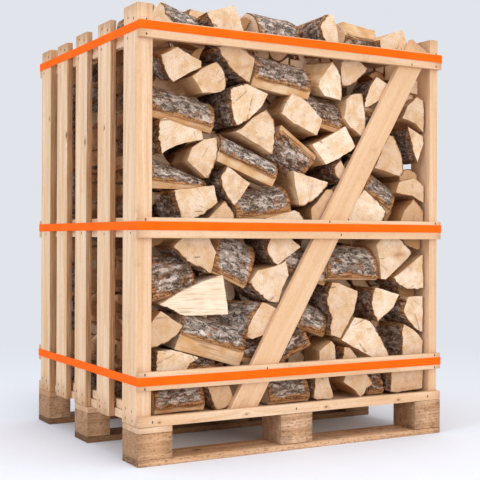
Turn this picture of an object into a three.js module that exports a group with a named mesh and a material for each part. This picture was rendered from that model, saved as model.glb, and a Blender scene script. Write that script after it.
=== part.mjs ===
import * as THREE from 'three';

// A slatted crate of split firewood on its own pallet, held by three flat straps.
// Millimetres, +Z up. The open front faces -Y, and the origin is on the ground under the middle.

// ---- Driving dimensions ----

const WIDTH = 1000; // along X, over the side slats and the rail ends
const DEPTH = 790; // along Y, over the front and back rails
const BOARD = 18; // thickness of every slat, rail and brace, and of the floor
const GAP = 0.3; // clearance left between pieces that touch

// Pallet
const BOTTOM_BOARD = 17; // thickness of the boards on the ground
const DECK_LEVEL = 101; // top of the blocks, where the crate begins
const PACKER = 16; // the left blocks are sawn short, and a packer makes up their height
const EDGE_BOARD_TOP = 128;
const BLOCK_COLUMNS = { left: [-500, -403], centre: [-70, 34], right: [403, 500] };
const NARROW_BLOCK = 70; // width of the two left blocks behind the front one
const BLOCK_ROWS = { front: [-395, -291], middle: [-38, 66], back: [291, 395] };

// Sides: three upright slats on each, between two corner posts
const SLATS = [
  { from: -196, width: 90, top: 1183 },
  { from: -19, width: 89, top: 1182 },
  { from: 142, width: 88, top: 1177 },
];
const CORNER_POSTS = {
  front: { from: -377, width: 90, top: 1196 },
  back: { from: 294, width: 83, top: 1180 },
};
const POST_THICKNESS = { left: 44, right: 30 }; // along X
const SIDE_BATTEN = { left: 26, right: 18, top: 124 }; // thickness on each side, and top edge
const KICK_BOARD = { inset: 6, thick: 14, top: 148 };
const SIDE_RAILS = { middle: [590, 643], top: [1104, 1150] }; // heights of their edges

// Front and back: three rails each, with a brace behind them
const RAILS = { bottom: [195, 243], middle: [588, 642], top: [1104, 1150] };
const BRACE_WIDTH = 75;
const BRACE_FOOT_X = -182; // middle of the brace where it meets the floor
const BRACE_HEAD = [433, 1172]; // middle of its square-cut top end, as X and Z

// Wood
const STACK_CLEARANCE = 0.6; // the wood stays this far inside the crate
const RANKS = ['front', 'middle', 'back']; // the wood stands in three ranks, one log deep each
const RANK_GAP = 1;

// Outline of each rank's heaped top, as pairs of X and Z from the left to the right
const HEAP_TOPS = {
  front: [[-400, 1200], [-300, 1216], [-180, 1242], [0, 1252], [110, 1256], [220, 1238], [380, 1220]],
  middle: [[-380, 1214], [-220, 1246], [-40, 1262], [150, 1262], [290, 1240], [390, 1210]],
  back: [[-370, 1205], [-200, 1236], [20, 1250], [200, 1238], [360, 1208]],
};
const HEAP_SHOULDER = 1180; // height of the wood where it meets the sides

// Straps
const STRAP_WIDTH = 24;
const STRAP_THICKNESS = 1.2;
const STRAP_CORNER = 2; // outer radius where a strap turns a corner
const STRAP_BOTTOMS = { bottom: 207, middle: 608, top: 1124 };

// ---- Finishes ----

const FINISHES = {
  pine: { color: '#e2c096', roughness: 0.8 },
  pallet_wood: { color: '#c49a6c', roughness: 0.85 },
  firewood: { color: '#a98e70', roughness: 0.9 },
  strap: { color: '#ff6a0f', roughness: 0.4 },
};

// ---- Making pieces ----

const crate = new THREE.Group();

function addMesh(name, geometry, finish) {
  const material = new THREE.MeshStandardMaterial({ ...FINISHES[finish], metalness: 0 });
  const mesh = new THREE.Mesh(geometry, material);
  mesh.name = name;
  crate.add(mesh);
  return mesh;
}

// A sawn board or block that fills the given range of X, Y and Z.
function addBoard(name, finish, x, y, z) {
  const ranges = [x, y, z];
  const size = ranges.map(([low, high]) => high - low);
  const centre = ranges.map(([low, high]) => (high + low) / 2);
  const mesh = addMesh(name, new THREE.BoxGeometry(...size), finish);
  mesh.position.set(...centre);
}

// A flat outline of X and Z points, given a thickness from the nearer to the further Y.
function addUprightPlate(name, finish, points, [near, far]) {
  const shape = new THREE.Shape(points.map(([x, z]) => new THREE.Vector2(x, z)));
  const geometry = new THREE.ExtrudeGeometry(shape, { depth: far - near, bevelEnabled: false });
  const mesh = addMesh(name, geometry, finish);
  mesh.rotation.x = Math.PI / 2;
  mesh.position.y = far;
}

// A range on the left side, or its mirror image on the right.
function onSide(side, [low, high]) {
  return side === 'left' ? [low, high] : [-high, -low];
}

// The same for a range at the front or at the back.
function onEnd(end, [low, high]) {
  return end === 'front' ? [low, high] : [-high, -low];
}

// ---- Pallet ----

const halfWidth = WIDTH / 2;
const halfDepth = DEPTH / 2;
const innerFront = -halfDepth + BOARD; // back of the front rails

const packerBottom = DECK_LEVEL - PACKER;
for (const [row, y] of Object.entries(BLOCK_ROWS)) {
  addBoard(`bottom_board_${row}`, 'pallet_wood', [-halfWidth, halfWidth], y, [0, BOTTOM_BOARD]);
  for (const [column, x] of Object.entries(BLOCK_COLUMNS)) {
    const isLeft = column === 'left';
    const span = isLeft && row !== 'front' ? [x[0], x[0] + NARROW_BLOCK] : x;
    const top = isLeft ? packerBottom - GAP : DECK_LEVEL;
    addBoard(`block_${row}_${column}`, 'pallet_wood', span, y, [BOTTOM_BOARD + GAP, top]);
    if (isLeft) {
      addBoard(`packer_${row}`, 'pine', span, y, [packerBottom, DECK_LEVEL]);
    }
  }
}

const crateBottom = DECK_LEVEL + GAP;
const slatInner = -halfWidth + BOARD; // inside face of the left slats
const floorTop = crateBottom + BOARD;
const floorLeft = slatInner + GAP + SIDE_BATTEN.left + GAP;
const floorRight = -(slatInner + GAP + SIDE_BATTEN.right + GAP);
const floorX = [floorLeft, floorRight];
const floorY = [innerFront + GAP, -innerFront - GAP];
addBoard('floor_panel', 'pine', floorX, floorY, [crateBottom, floorTop]);

// ---- Sides ----

const frontPostEnd = CORNER_POSTS.front.from + CORNER_POSTS.front.width;
const betweenPosts = [frontPostEnd + GAP, CORNER_POSTS.back.from - GAP];

for (const side of ['left', 'right']) {
  const outer = onSide(side, [-halfWidth, slatInner]);
  SLATS.forEach(({ from, width, top }, i) => {
    addBoard(`slat_${side}_${i + 1}`, 'pine', outer, [from, from + width], [crateBottom, top]);
  });

  const postX = onSide(side, [-halfWidth, -halfWidth + POST_THICKNESS[side]]);
  for (const [end, { from, width, top }] of Object.entries(CORNER_POSTS)) {
    addBoard(`corner_post_${end}_${side}`, 'pine', postX, [from, from + width], [crateBottom, top]);
  }

  // The battens and rails that the middle slats are nailed to
  const battenX = onSide(side, [slatInner + GAP, slatInner + GAP + SIDE_BATTEN[side]]);
  addBoard(`side_batten_${side}`, 'pine', battenX, betweenPosts, [crateBottom, SIDE_BATTEN.top]);
  const kickOuter = slatInner + KICK_BOARD.inset;
  const kickX = onSide(side, [kickOuter, kickOuter + KICK_BOARD.thick]);
  const kickZ = [SIDE_BATTEN.top + GAP, KICK_BOARD.top];
  addBoard(`kick_board_${side}`, 'pine', kickX, betweenPosts, kickZ);
  const railX = onSide(side, [slatInner + GAP, slatInner + GAP + BOARD]);
  for (const [level, z] of Object.entries(SIDE_RAILS)) {
    addBoard(`side_rail_${level}_${side}`, 'pine', railX, betweenPosts, z);
  }
}

// ---- Front and back ----

const braceLean = Math.atan2(BRACE_HEAD[1] - floorTop, BRACE_HEAD[0] - BRACE_FOOT_X);
const along = [Math.cos(braceLean), Math.sin(braceLean)];
const halfBrace = BRACE_WIDTH / 2;
const footHalf = halfBrace / along[1]; // half the length of the level cut at the foot
const braceOutline = [
  [BRACE_FOOT_X - footHalf, floorTop + GAP],
  [BRACE_FOOT_X + footHalf, floorTop + GAP],
  [BRACE_HEAD[0] + along[1] * halfBrace, BRACE_HEAD[1] - along[0] * halfBrace],
  [BRACE_HEAD[0] - along[1] * halfBrace, BRACE_HEAD[1] + along[0] * halfBrace],
];

for (const end of ['front', 'back']) {
  const railY = onEnd(end, [-halfDepth, innerFront - GAP]);
  addBoard(`edge_board_${end}`, 'pine', [-halfWidth, halfWidth], railY, [crateBottom, EDGE_BOARD_TOP]);
  for (const [level, z] of Object.entries(RAILS)) {
    addBoard(`rail_${level}_${end}`, 'pine', [-halfWidth, halfWidth], railY, z);
  }
  const braceY = onEnd(end, [innerFront, innerFront + BOARD]);
  addUprightPlate(`brace_${end}`, 'pine', braceOutline, braceY);
}

// ---- Straps ----

// A rectangle with rounded corners, as a closed path that is as wide and deep as given.
function roundedRectangle(path, halfX, halfY, radius) {
  path.moveTo(halfX, -halfY + radius);
  path.absarc(halfX - radius, halfY - radius, radius, 0, Math.PI / 2);
  path.absarc(-halfX + radius, halfY - radius, radius, Math.PI / 2, Math.PI);
  path.absarc(-halfX + radius, -halfY + radius, radius, Math.PI, 1.5 * Math.PI);
  path.absarc(halfX - radius, -halfY + radius, radius, 1.5 * Math.PI, 2 * Math.PI);
  return path;
}

const strapInnerX = halfWidth + GAP;
const strapInnerY = halfDepth + GAP;
for (const [level, z] of Object.entries(STRAP_BOTTOMS)) {
  const outerX = strapInnerX + STRAP_THICKNESS;
  const outerY = strapInnerY + STRAP_THICKNESS;
  const loop = roundedRectangle(new THREE.Shape(), outerX, outerY, STRAP_CORNER);
  const innerRadius = STRAP_CORNER - STRAP_THICKNESS;
  loop.holes.push(roundedRectangle(new THREE.Path(), strapInnerX, strapInnerY, innerRadius));
  const settings = { depth: STRAP_WIDTH, bevelEnabled: false, curveSegments: 3 };
  const strap = addMesh(`strap_${level}`, new THREE.ExtrudeGeometry(loop, settings), 'strap');
  strap.position.z = z;
}

// ---- Wood ----

// Each rank is one log long from its front to its back, and heaped at the top.
const stackFront = innerFront + BOARD + STACK_CLEARANCE;
const rankDepth = (-2 * stackFront - (RANKS.length - 1) * RANK_GAP) / RANKS.length;
const stackBottom = floorTop + STACK_CLEARANCE;
const stackLeft = -halfWidth + POST_THICKNESS.left + GAP + STACK_CLEARANCE;
const stackRight = -(slatInner + KICK_BOARD.inset + KICK_BOARD.thick + STACK_CLEARANCE);
RANKS.forEach((rank, i) => {
  const outline = [
    [stackLeft, stackBottom],
    [stackRight, stackBottom],
    [stackRight, HEAP_SHOULDER],
    ...HEAP_TOPS[rank].toReversed(),
    [stackLeft, HEAP_SHOULDER],
  ];
  const near = stackFront + i * (rankDepth + RANK_GAP);
  addUprightPlate(`logs_${rank}`, 'firewood', outline, [near, near + rankDepth]);
});

export default crate;
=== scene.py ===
import math

import bpy
import numpy as np
from mathutils import Matrix, Vector


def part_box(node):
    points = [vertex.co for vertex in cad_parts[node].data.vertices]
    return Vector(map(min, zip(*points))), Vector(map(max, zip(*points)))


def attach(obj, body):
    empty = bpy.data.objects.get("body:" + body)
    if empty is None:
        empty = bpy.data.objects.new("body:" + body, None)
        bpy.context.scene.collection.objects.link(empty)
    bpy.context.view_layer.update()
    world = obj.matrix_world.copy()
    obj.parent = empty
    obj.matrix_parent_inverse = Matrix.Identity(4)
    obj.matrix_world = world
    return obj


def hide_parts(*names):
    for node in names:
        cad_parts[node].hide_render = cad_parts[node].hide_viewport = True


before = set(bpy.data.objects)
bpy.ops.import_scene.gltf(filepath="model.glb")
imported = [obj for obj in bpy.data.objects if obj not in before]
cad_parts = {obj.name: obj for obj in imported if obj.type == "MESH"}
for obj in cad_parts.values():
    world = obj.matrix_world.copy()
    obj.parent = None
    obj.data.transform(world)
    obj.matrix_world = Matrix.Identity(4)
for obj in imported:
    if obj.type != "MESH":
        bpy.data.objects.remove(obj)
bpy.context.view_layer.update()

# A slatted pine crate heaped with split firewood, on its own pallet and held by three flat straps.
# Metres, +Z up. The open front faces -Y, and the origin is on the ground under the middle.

MM = 0.001
CM = 0.01


# ---- Colours and nodes ----


def paint(code):
    """Linear colour of an sRGB hex code: c / 12.92 in the dark, ((c + 0.055) / 1.055) ^ 2.4 above."""
    levels = np.array([int(code[i : i + 2], 16) for i in (1, 3, 5)]) / 255
    linear = np.where(levels <= 0.04045, levels / 12.92, ((levels + 0.055) / 1.055) ** 2.4)
    return (*linear.tolist(), 1.0)


def put(tree, kind, sockets=(), stops=(), **settings):
    """Adds a node. `sockets` gives each input a value or an output to link, and `stops` fill a ramp."""
    node = tree.nodes.new("ShaderNode" + kind)
    for key, value in settings.items():
        setattr(node, key, value)
    for key, value in dict(sockets).items():
        if isinstance(value, bpy.types.NodeSocket):
            tree.links.new(value, node.inputs[key])
        else:
            node.inputs[key].default_value = value
    for i, (position, colour) in enumerate(stops):
        ramp = node.color_ramp.elements
        stop = ramp[i] if i < len(ramp) else ramp.new(position)
        stop.position = position
        stop.color = paint(colour) if isinstance(colour, str) else (colour, colour, colour, 1)
    return node


def new_finish(name, roughness, specular=0.5):
    """A material of that name with its node tree and its shader."""
    finish = bpy.data.materials.new(name)
    finish.use_nodes = True
    tree = finish.node_tree
    shader = tree.nodes["Principled BSDF"]
    shader.inputs["Roughness"].default_value = roughness
    shader.inputs["Specular IOR Level"].default_value = specular
    return finish, tree, shader


def coat(tree, shader, colour, height, strength, distance):
    """Gives the shader its colour and the relief of a height."""
    tree.links.new(colour, shader.inputs["Base Color"])
    bump = put(tree, "Bump", {"Height": height, "Strength": strength, "Distance": distance})
    tree.links.new(bump.outputs[0], shader.inputs["Normal"])


def field(tree, name, output="Fac"):
    """Output of the values that the piece's own points carry under a name."""
    return put(tree, "Attribute", attribute_name=name).outputs[output]


def add(tree, first, second):
    """Output of a sum."""
    return put(tree, "Math", {0: first, 1: second}, operation="ADD").outputs[0]


def times(tree, first, second):
    """Output of a product."""
    return put(tree, "Math", {0: first, 1: second}, operation="MULTIPLY").outputs[0]


def swayed(tree, value, noise, amount):
    """Output of a value moved both ways by a noise whose middle is one half."""
    return add(tree, value, times(tree, add(tree, noise, -0.5), amount))


def weighted_length(tree, vector, weights):
    """Output of a vector's length, each of its parts weighted first."""
    weighted = put(tree, "VectorMath", {0: vector, 1: weights}, operation="MULTIPLY").outputs[0]
    return put(tree, "VectorMath", {0: weighted}, operation="LENGTH").outputs["Value"]


def even_noise(tree, place, scale, detail, roughness=0.5, output="Fac"):
    """Output of a noise that is the same every way, with `scale` cells to the metre."""
    sockets = {"Vector": place, "Scale": scale, "Detail": detail, "Roughness": roughness}
    return put(tree, "TexNoise", sockets).outputs[output]


def fibre_noise(tree, grain, across, along, detail=3.0):
    """Output of a noise drawn out along the fibre: cells `across` by `along` in size, in metres."""
    sizes = (1 / across, 1 / across, 1 / along)
    scaled = put(tree, "VectorMath", {0: grain, 1: sizes}, operation="MULTIPLY").outputs[0]
    return even_noise(tree, scaled, 1.0, detail)


def share_between(tree, value, low, high, to_low=0.0, to_high=1.0):
    """The value carried from the range low..high to another one, and held at its ends."""
    sockets = {0: value, 1: low, 2: high, 3: to_low, 4: to_high}
    return put(tree, "MapRange", sockets, interpolation_type="SMOOTHSTEP").outputs[0]


def blend(tree, share, first, second):
    """Output of a colour mix: `first` where the share is 0 and `second` where it is 1."""
    colours = [paint(colour) if isinstance(colour, str) else colour for colour in (first, second)]
    sockets = {0: share, 6: colours[0], 7: colours[1]}
    return put(tree, "Mix", sockets, data_type="RGBA").outputs[2]


def overlay(tree, under, colour, value, low, high, to_low=0.0, to_high=1.0):
    """Output of a colour laid over another one, by the share that a value has between low and high."""
    return blend(tree, share_between(tree, value, low, high, to_low, to_high), under, colour)


# ---- Materials ----


def sawn_wood(name, light, dark, late, edge_dark, knot, dirt, ring_gap):
    """Sawn softwood: rings round the pith of each board, fine fibres, knots and the greying of handling."""
    finish, tree, shader = new_finish(name, 0.72, 0.25)
    grain = field(tree, "grain", "Vector")
    tone_and_shade = field(tree, "tone_and_shade")
    dirt_and_shade = field(tree, "dirt_and_shade")

    # How far the nearest knot is. Knots come one after another along the board, as far apart as the
    # second part of `knot` says.
    aside, spacing, ahead = put(tree, "SeparateXYZ", {0: field(tree, "knot", "Vector")}).outputs
    bounds = {0: ahead, 1: times(tree, spacing, 0.5), 2: times(tree, spacing, -0.5)}
    nearest = put(tree, "Math", bounds, operation="WRAP").outputs[0]
    from_knot = put(tree, "CombineXYZ", {0: aside, 2: nearest}).outputs[0]
    spot = weighted_length(tree, from_knot, (1, 1, 0.6))
    spot = swayed(tree, spot, even_noise(tree, grain, 60.0, 3.0), 0.012)

    # Rings round the pith, which wander a little and swell round a knot
    drift = fibre_noise(tree, grain, 0.05, 0.5, 2.0)
    radius = add(tree, weighted_length(tree, grain, (1, 1, 0)), times(tree, drift, 0.03))
    radius = add(tree, radius, share_between(tree, spot, 0.0, 0.045, 0.014, 0.0))
    count = put(tree, "Math", {0: radius, 1: ring_gap}, operation="DIVIDE").outputs[0]
    ring = put(tree, "Math", {0: count}, operation="FRACT").outputs[0]
    band = put(tree, "ValToRGB", {0: ring}, [(0.0, 0.15), (0.6, 0.4), (0.9, 1.0)]).outputs[0]
    fibres = fibre_noise(tree, grain, 0.0025, 0.12, 4.0)
    broad = fibre_noise(tree, grain, 0.02, 0.35, 3.0)

    colour = overlay(tree, light, dark, broad, 0.3, 0.7)
    colour = blend(tree, times(tree, band, 0.38), colour, late)
    colour = overlay(tree, colour, late, fibres, 0.35, 0.75, 0.0, 0.35)
    # Tone and shade: paler below 0 as painted light, darker from 0 to 2 by the board's own tone and by
    # painted shade, and darkest from 1.2 to 2.2 as painted deep shade.
    colour = overlay(tree, colour, "#ffe9cd", tone_and_shade, -1.0, 0.0, 0.7, 0.0)
    colour = blend(tree, times(tree, tone_and_shade, 0.5), colour, dark)
    colour = overlay(tree, colour, edge_dark, tone_and_shade, 1.2, 2.2, 0.0, 0.75)
    # The shade attribute darkens towards edge_dark, broken up by the fibres: dust on the sawn ends, the
    # slats' and back posts' tops and the rails' narrow sides, painted shade on the slats' and back posts'
    # narrow sides, and dust with painted shade next to the other boards' ends.
    uneven = times(tree, dirt_and_shade, share_between(tree, fibres, 0.35, 0.65, 0.45, 1.0))
    colour = blend(tree, uneven, colour, edge_dark)
    colour = overlay(tree, colour, edge_dark, spot, 0.005, 0.02, 0.5, 0.0)
    colour = overlay(tree, colour, knot, spot, 0.003, 0.008, 0.85, 0.0)
    soil = even_noise(tree, grain, 16.0, 6.0, 0.65)
    colour = overlay(tree, colour, knot, soil, 0.55, 0.8, 0.0, dirt)
    check = fibre_noise(tree, grain, 0.005, 0.009, 6.0)
    colour = overlay(tree, colour, edge_dark, check, 0.5, 0.68, 0.0, dirt * 0.55)
    coat(tree, shader, colour, add(tree, fibres, times(tree, ring, 0.4)), 0.35, 0.0012)
    return finish


# Kiln-dried pine, sawn and left rough: pale straw wood with soft honey rings and a few brown knots.
SAWN_PINE = sawn_wood(
    "sawn_pine", "#f3d8bb", "#e0b48a", "#c4935f", "#a87548", "#6a4023", 0.25, 0.011
)

# Rough pallet timber: browner and dirtier than the crate, with dark checks and handling marks.
PALLET_TIMBER = sawn_wood(
    "rough_pallet_timber", "#efc49c", "#c9986c", "#946541", "#5f3d22", "#3c2617", 0.95, 0.009
)


def cleft_wood():
    """Split firewood faces: torn fibres along the log, paler sapwood and tawny heartwood."""
    finish, tree, shader = new_finish("cleft_firewood", 0.8, 0.2)
    grain = field(tree, "grain", "Vector")
    tone_and_shade = field(tree, "tone_and_shade")
    fibres = fibre_noise(tree, grain, 0.003, 0.07, 5.0)
    tears = fibre_noise(tree, grain, 0.012, 0.16, 4.0)
    colour = overlay(tree, "#f2d4ac", "#dca972", even_noise(tree, grain, 22.0, 3.0), 0.3, 0.7)
    colour = overlay(tree, colour, "#fbebd6", tone_and_shade, -1.0, 0.0, 0.8, 0.0)
    colour = blend(tree, times(tree, tone_and_shade, 0.8), colour, "#ad6f39")
    # From 1 to 2 the dark brown is painted shade, for logs deep in the gaps.
    colour = overlay(tree, colour, "#4c311d", tone_and_shade, 1.0, 2.0, 0.0, 0.8)
    colour = overlay(tree, colour, "#ae7a47", fibres, 0.45, 0.75, 0, 0.5)
    colour = overlay(tree, colour, "#8a5c38", tears, 0.6, 0.72, 0, 0.55)
    frayed = swayed(tree, field(tree, "rim"), fibres, 1.4)
    colour = overlay(tree, colour, "#7b4a27", frayed, 0.08, 0.4, 0.8, 0.0)
    coat(tree, shader, colour, add(tree, fibres, tears), 0.6, 0.003)
    return finish


def sawn_end():
    """Sawn log ends: cream wood with faint rings, radial drying cracks and a dark rim of bark."""
    finish, tree, shader = new_finish("crosscut_firewood", 0.82, 0.2)
    grain = field(tree, "grain", "Vector")
    tone_and_shade = field(tree, "tone_and_shade")
    rim = field(tree, "rim")
    waver = even_noise(tree, grain, 25.0, 2.0)
    fine = even_noise(tree, grain, 230.0, 5.0, 0.7)
    bent = add(tree, weighted_length(tree, grain, (1, 1, 0)), times(tree, waver, 0.014))
    count = put(tree, "Math", {0: bent, 1: 0.006}, operation="DIVIDE").outputs[0]
    ring = put(tree, "Math", {0: count}, operation="FRACT").outputs[0]
    blotch = even_noise(tree, grain, 28.0, 6.0, 0.65)
    colour = overlay(tree, "#fae4cb", "#e6bf92", blotch, 0.35, 0.68)
    colour = blend(tree, times(tree, tone_and_shade, 0.75), colour, "#c08f5f")
    # From 1 to 2 the dark brown is painted shade, for log ends deep in the gaps.
    colour = overlay(tree, colour, "#4c311d", tone_and_shade, 1.0, 2.0, 0.0, 0.8)
    colour = overlay(tree, colour, "#b07f50", ring, 0.4, 1.0, 0, 0.2)
    colour = overlay(tree, colour, "#a6764a", fine, 0.5, 0.72, 0, 0.5)

    # Cracks run out from the pith wherever a noise of the angle round it crosses one half.
    x, y, _ = put(tree, "SeparateXYZ", {0: grain}).outputs
    angle = put(tree, "Math", {0: y, 1: x}, operation="ARCTAN2").outputs[0]
    spin = times(tree, add(tree, angle, times(tree, waver, 0.12)), 3.2)
    spin = add(tree, spin, times(tree, tone_and_shade, 40.0))
    fan = put(tree, "TexNoise", {"W": spin, "Scale": 1.0, "Detail": 1.0}, noise_dimensions="1D")
    off = put(tree, "Math", {0: add(tree, fan.outputs["Fac"], -0.5)}, operation="ABSOLUTE").outputs[0]
    line = share_between(tree, off, 0.002, 0.009, 0.75, 0.0)
    gate = share_between(tree, waver, 0.54, 0.62, 0.0, 0.85)
    colour = blend(tree, times(tree, line, gate), colour, "#6d4a2c")

    colour = overlay(tree, colour, "#96592d", swayed(tree, rim, waver, 1.6), 0.15, 0.95, 0.8, 0.0)
    colour = overlay(tree, colour, "#3d2a1e", swayed(tree, rim, fine, 0.6), 0.25, 0.5, 0.95, 0.0)
    coat(tree, shader, colour, fine, 0.5, 0.0015)
    return finish


def rough_bark():
    """Bark: pale flakes along the log, dark brown furrows between, and tawny shreds at its broken edges."""
    finish, tree, shader = new_finish("furrowed_bark", 0.88, 0.2)
    grain = field(tree, "grain", "Vector")
    bend = even_noise(tree, grain, 55.0, 5.0, 0.6, "Color")
    away = put(tree, "VectorMath", {0: bend, 1: (-0.5, -0.5, -0.5)}, operation="ADD").outputs[0]
    shove = put(tree, "VectorMath", {0: away, "Scale": 0.032}, operation="SCALE").outputs[0]
    warped = put(tree, "VectorMath", {0: grain, 1: shove}, operation="ADD").outputs[0]
    plate = fibre_noise(tree, warped, 0.011, 0.034, 4.0)
    apart = add(tree, fibre_noise(tree, warped, 0.014, 0.05, 5.0), -0.5)
    gap = put(tree, "Math", {0: apart}, operation="ABSOLUTE").outputs[0]
    broad = even_noise(tree, grain, 26.0, 5.0, 0.6)
    streak = fibre_noise(tree, grain, 0.005, 0.03, 5.0)
    speck = even_noise(tree, grain, 230.0, 5.0, 0.75)

    stops = [(0.0, "#9a6a45"), (0.3, "#b48f70"), (0.6, "#c7aa91"), (1.0, "#e2cdbb")]
    base = put(tree, "ValToRGB", {0: field(tree, "bark")}, stops).outputs[0]
    paler = blend(tree, 0.6, base, "#fbeadc")
    darker = blend(tree, 0.6, base, "#46290f")
    colour = overlay(tree, darker, paler, plate, 0.38, 0.62)
    colour = overlay(tree, colour, darker, streak, 0.36, 0.54, 0.55, 0.0)
    colour = overlay(tree, colour, darker, speck, 0.38, 0.52, 0.4, 0.0)
    colour = overlay(tree, colour, paler, speck, 0.54, 0.66, 0.0, 0.55)
    patches = share_between(tree, broad, 0.53, 0.63, 0.0, 0.85)
    rust = times(tree, patches, share_between(tree, streak, 0.42, 0.58))
    colour = blend(tree, rust, colour, "#a8602f")
    colour = overlay(tree, colour, "#38220f", gap, 0.008, 0.05, 0.85, 0.0)
    tawny = overlay(tree, "#734322", "#cf925a", add(tree, streak, speck), 0.88, 1.12)
    frayed = swayed(tree, field(tree, "rim"), broad, 3.4)
    colour = overlay(tree, colour, tawny, frayed, 0.35, 0.95, 0.95, 0.0)
    relief = add(tree, share_between(tree, gap, 0.0, 0.09), times(tree, speck, 0.9))
    coat(tree, shader, colour, add(tree, relief, streak), 0.8, 0.004)
    return finish


def strap_weave():
    """Woven polyester lashing tape: bright orange, satin, with a fine rib across it."""
    finish, tree, shader = new_finish("woven_polyester_tape", 0.7, 0.08)
    run = field(tree, "grain", "Vector")
    cells = put(tree, "VectorMath", {0: run, 1: (1, 420, 260)}, operation="MULTIPLY").outputs[0]
    rib = put(tree, "TexWave", {"Vector": cells, "Scale": 1.0}, bands_direction="DIAGONAL")
    colour = overlay(tree, "#fb670a", "#f85e05", even_noise(tree, run, 9.0, 4.0), 0.35, 0.7)
    coat(tree, shader, colour, rib.outputs["Fac"], 0.15, 0.0003)
    return finish


def nail_steel():
    """Driven steel nail heads: small and dark, sunk in the rough wood and browned by it."""
    finish, tree, shader = new_finish("driven_nail_steel", 0.45)
    place = put(tree, "TexCoord").outputs["Object"]
    colour = overlay(tree, "#5b4a3e", "#2b2019", even_noise(tree, place, 700.0, 2.0), 0.4, 0.65)
    tree.links.new(colour, shader.inputs["Base Color"])
    shader.inputs["Metallic"].default_value = 0.3
    return finish


FIREWOOD = [rough_bark(), cleft_wood(), sawn_end()]
BARK, CLEFT, CROSSCUT = range(3)
TAPE = strap_weave()
NAIL = nail_steel()


# ---- Making surfaces ----


def placed(name, data):
    """A new object that holds a mesh, a lamp or a camera."""
    thing = bpy.data.objects.new(name, data)
    bpy.context.scene.collection.objects.link(thing)
    return thing


def lattice_noise(points, cell, seed):
    """Smooth noise from -1 to 1: a random value at each lattice point, blended by 3t^2 - 2t^3 between."""
    scaled = points / np.asarray(cell)
    base = np.floor(scaled).astype(np.int64)
    part = scaled - base
    part = part * part * (3 - 2 * part)
    total = np.zeros(points.shape[:-1])
    for corner in np.ndindex(2, 2, 2):
        key = base + np.array(corner)
        code = (key[..., 0] * 73856093) ^ (key[..., 1] * 19349663) ^ (key[..., 2] * 83492791)
        code = (code ^ (seed * 40503)) & 0x7FFFFFFF
        code = ((code ^ (code >> 13)) * 1274126177) & 0x7FFFFFFF
        value = ((code ^ (code >> 11)) & 0xFFFF) / 32767.5 - 1
        total += value * np.prod(np.where(corner, part, 1 - part), axis=-1)
    return total


def tube_faces(rows, columns, joined=False):
    """Quads between neighbouring rows of a tube, each row a closed loop, and last to first if joined."""
    i = np.arange(rows if joined else rows - 1)[:, None] * columns
    j = np.arange(columns)[None, :]
    k = (j + 1) % columns
    after = (i + columns) % (rows * columns)
    return np.stack([i + j, i + k, after + k, after + j], axis=-1).reshape(-1, 4)


def closed_tube(rings):
    """Points and faces of a tube closed at both ends by a fan to the middle of its first and last ring."""
    rows, columns = rings.shape[:2]
    points = np.concatenate([rings.reshape(-1, 3), [rings[0].mean(0), rings[-1].mean(0)]])
    j = np.arange(columns)
    k = (j + 1) % columns
    last = (rows - 1) * columns
    first_fan = np.stack([np.full(columns, rows * columns), k, j], axis=-1)
    last_fan = np.stack([np.full(columns, rows * columns + 1), last + j, last + k], axis=-1)
    return points, [tube_faces(rows, columns), first_fan, last_fan]


def with_middles(values):
    """Values over a closed tube's rings as one list, then the means of its first and last ring."""
    return np.concatenate([values.reshape(-1, *values.shape[2:]), [values[0].mean(0), values[-1].mean(0)]])


SHARP_ANGLE = 38  # degrees between two faces from which their edge is drawn sharp


def new_piece(name, shapes, materials, replaced=()):
    """One object from a list of shapes, each with its points, faces, material picks and point values."""
    starts = np.cumsum([0] + [len(shape["points"]) for shape in shapes])
    points = np.concatenate([shape["points"] for shape in shapes])
    sizes, corners, picks = [], [], []
    for start, shape in zip(starts, shapes):
        for group, pick in zip(shape["faces"], shape["picks"]):
            sizes.append(np.full(len(group), group.shape[1]))
            corners.append(group.ravel() + start)
            picks.append(np.broadcast_to(pick, len(group)))
    sizes = np.concatenate(sizes)
    corners = np.concatenate(corners)
    mesh = bpy.data.meshes.new(name)
    mesh.vertices.add(len(points))
    mesh.vertices.foreach_set("co", points.astype(np.float32).ravel())
    mesh.loops.add(len(corners))
    mesh.loops.foreach_set("vertex_index", corners.astype(np.int32))
    mesh.polygons.add(len(sizes))
    loop_starts = np.cumsum(sizes) - sizes
    mesh.polygons.foreach_set("loop_start", loop_starts.astype(np.int32))
    mesh.polygons.foreach_set("material_index", np.concatenate(picks).astype(np.int32))
    mesh.update(calc_edges=True)
    for key in shapes[0]["values"]:
        values = np.concatenate([shape["values"][key] for shape in shapes])
        kind, part = ("FLOAT_VECTOR", "vector") if values.ndim == 2 else ("FLOAT", "value")
        layer = mesh.attributes.new(key, kind, "POINT")
        layer.data.foreach_set(part, values.astype(np.float32).ravel())
    mesh.polygons.foreach_set("use_smooth", np.ones(len(sizes), bool))
    mesh.set_sharp_from_angle(angle=math.radians(SHARP_ANGLE))
    for material in materials:
        mesh.materials.append(material)
    piece = placed(name, mesh)
    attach(piece, "root")
    if replaced:
        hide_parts(*replaced)


# ---- Camera, floor and light ----

camera = placed("camera", bpy.data.cameras.new("camera"))
bpy.context.scene.camera = camera
camera.data.sensor_width = 36
camera.data.lens = 75.6
camera.matrix_world = (
    Matrix.Translation((-1.5503, -2.7588, 0.5884))
    @ Matrix.Rotation(math.radians(-29.67), 4, "Z")
    @ Matrix.Rotation(math.radians(90 - 0.09), 4, "X")
    @ Matrix.Rotation(math.radians(0.27), 4, "Z")
)

WALL = "#e1e4ea"  # the pale blue grey of the studio's wall


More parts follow.
